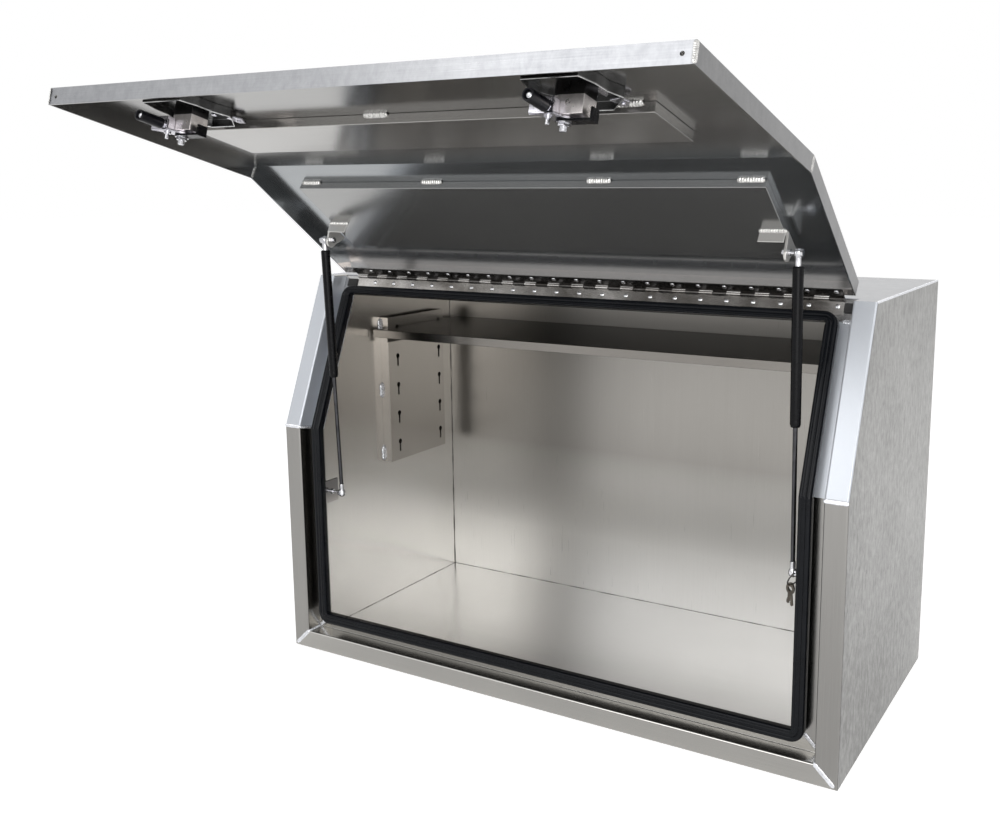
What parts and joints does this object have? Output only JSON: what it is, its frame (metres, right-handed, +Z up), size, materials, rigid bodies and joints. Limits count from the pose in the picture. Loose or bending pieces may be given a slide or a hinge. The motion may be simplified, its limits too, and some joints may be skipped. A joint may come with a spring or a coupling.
{
  "type": "aluminium toolbox",
  "caption": "Folded aluminium toolbox with a gas-strut lift-up front door on a piano hinge, sealed recessed mouth, roller-cam locks and an adjustable keyhole shelf.",
  "frame": {"origin": "centre of the body's underside, on the surface it stands on", "axes": "X along the width with +X to the right seen from the front, +Y from front to back, +Z up"},
  "size_m": [1.2, 1.1325, 1.1473],
  "materials": {
    "outer_sheet": "mill finish, fine brush lines",
    "inner_sheet": "mill finish, warm satin",
    "weld": "as welded, scalloped bead",
    "seal_rubber": "matt black",
    "foam": "open-cell foam, matt black",
    "hinge_steel": "rolled stainless",
    "rivet": "bright domed rivet",
    "bright_zinc": "bright zinc plate",
    "pale_zinc": "pale yellow-tinted zinc plate",
    "cast_zinc": "satin plated casting",
    "dish_steel": "pressed stainless",
    "polished_steel": "polished",
    "key_metal": "worn key blank",
    "black_paint": "semi-gloss black",
    "roller_rubber": "smooth black"
  },
  "bodies": {
    "body": {"floor_panel": "inner_sheet", "back_panel": "inner_sheet", "top_panel": "outer_sheet", "left_side_panel": "outer_sheet", "right_side_panel": "outer_sheet", "sill_rail": "outer_sheet", "header_rail": "outer_sheet", "left_lower_jamb": "outer_sheet", "right_lower_jamb": "outer_sheet", "left_upper_jamb": "outer_sheet", "right_upper_jamb": "outer_sheet", "body_welds": "weld", "door_seal": "seal_rubber", "hinge_end_plugs": "foam", "hinge_body_leaf": "hinge_steel", "hinge_pin": "hinge_steel", "hinge_body_rivets": "rivet", "left_shelf_bracket": "outer_sheet", "right_shelf_bracket": "outer_sheet", "strut_lower_brackets": "outer_sheet", "strut_lower_ball_studs": "bright_zinc"},
    "shelf": {"shelf": "outer_sheet", "shelf_lugs": "bright_zinc"},
    "door": {"door_skin": "outer_sheet", "door_lower_stiffener": "outer_sheet", "door_upper_stiffener": "outer_sheet", "door_welds": "weld", "hinge_door_leaf": "hinge_steel", "hinge_door_rivets": "rivet", "strut_upper_brackets": "outer_sheet", "strut_upper_nuts": "bright_zinc", "lock_dishes": "dish_steel", "lock_housings": "cast_zinc", "lock_face_plates": "polished_steel"},
    "keys": {"key_ring": "polished_steel", "keys": "key_metal"},
    "left_rod": {"left_strut_rod": "polished_steel", "left_strut_lower_socket": "bright_zinc"},
    "left_tube": {"left_strut_tube": "black_paint", "left_strut_upper_socket": "bright_zinc", "left_strut_ball_stud": "bright_zinc"},
    "right_rod": {"right_strut_rod": "polished_steel", "right_strut_lower_socket": "bright_zinc"},
    "right_tube": {"right_strut_tube": "black_paint", "right_strut_upper_socket": "bright_zinc", "right_strut_ball_stud": "bright_zinc"},
    "left_lock": {"left_lock_handle": "polished_steel", "left_lock_spindle": "bright_zinc", "left_lock_cam": "pale_zinc", "left_lock_lever": "black_paint", "left_lock_roller_bolt": "bright_zinc"},
    "left_roller": {"left_lock_roller": "roller_rubber"},
    "left_barrel": {"left_lock_key_barrel": "bright_zinc"},
    "right_lock": {"right_lock_handle": "polished_steel", "right_lock_spindle": "bright_zinc", "right_lock_cam": "pale_zinc", "right_lock_lever": "black_paint", "right_lock_roller_bolt": "bright_zinc"},
    "right_roller": {"right_lock_roller": "roller_rubber"},
    "right_barrel": {"right_lock_key_barrel": "bright_zinc"}
  },
  "joints": [
    {"name": "door_hinge", "type": "hinge", "parent": "body", "child": "door", "pos_m": [0, -0.13765, 0.79853], "axis": [1, 0, 0], "range_deg": [0, 105]},
    {"name": "shelf_lift", "type": "slide", "parent": "body", "child": "shelf", "axis": [0, 0, 1], "range_m": [0, 0.018]},
    {"name": "keys_swing", "type": "hinge", "parent": "body", "child": "keys", "pos_m": [0.5065, -0.247, 0.3443], "axis": [1, 0, 0], "range_deg": [-20, 20]},
    {"name": "left_strut_pivot", "type": "hinge", "parent": "body", "child": "left_rod", "pos_m": [-0.496, -0.247, 0.3443], "axis": [1, 0, 0], "range_deg": [-13.98, 0]},
    {"name": "left_strut_stroke", "type": "slide", "parent": "left_rod", "child": "left_tube", "axis": [0, -0.0424, 0.9991], "range_m": [-0.22793, 0]},
    {"name": "left_lock_turn", "type": "hinge", "parent": "door", "child": "left_lock", "pos_m": [-0.345, -0.74432, 1.0981], "axis": [0, -0.2588, -0.9659], "range_deg": [0, 90]},
    {"name": "left_key_turn", "type": "hinge", "parent": "left_lock", "child": "left_barrel", "pos_m": [-0.345, -0.735, 1.13287], "axis": [0, -0.2588, -0.9659], "range_deg": [0, 90]},
    {"name": "left_roller_spin", "type": "hinge", "parent": "left_lock", "child": "left_roller", "pos_m": [-0.354, -0.80407, 1.0934], "axis": [0, 0.9659, -0.2588], "continuous": true},
    {"name": "right_strut_pivot", "type": "hinge", "parent": "body", "child": "right_rod", "pos_m": [0.496, -0.247, 0.3443], "axis": [1, 0, 0], "range_deg": [-13.98, 0]},
    {"name": "right_strut_stroke", "type": "slide", "parent": "right_rod", "child": "right_tube", "axis": [0, -0.0424, 0.9991], "range_m": [-0.22793, 0]},
    {"name": "right_lock_turn", "type": "hinge", "parent": "door", "child": "right_lock", "pos_m": [0.345, -0.74432, 1.0981], "axis": [0, -0.2588, -0.9659], "range_deg": [0, 90]},
    {"name": "right_key_turn", "type": "hinge", "parent": "right_lock", "child": "right_barrel", "pos_m": [0.345, -0.735, 1.13287], "axis": [0, -0.2588, -0.9659], "range_deg": [0, 90]},
    {"name": "right_roller_spin", "type": "hinge", "parent": "right_lock", "child": "right_roller", "pos_m": [0.336, -0.80407, 1.0934], "axis": [0, 0.9659, -0.2588], "continuous": true}
  ],
  "couplings": [
    {"joint": "left_strut_pivot", "follows": "door_hinge", "ratio": -0.13309},
    {"joint": "left_strut_stroke", "follows": "door_hinge", "m_per_rad": -0.12435},
    {"joint": "right_strut_pivot", "follows": "door_hinge", "ratio": -0.13309},
    {"joint": "right_strut_stroke", "follows": "door_hinge", "m_per_rad": -0.12435}
  ]
}
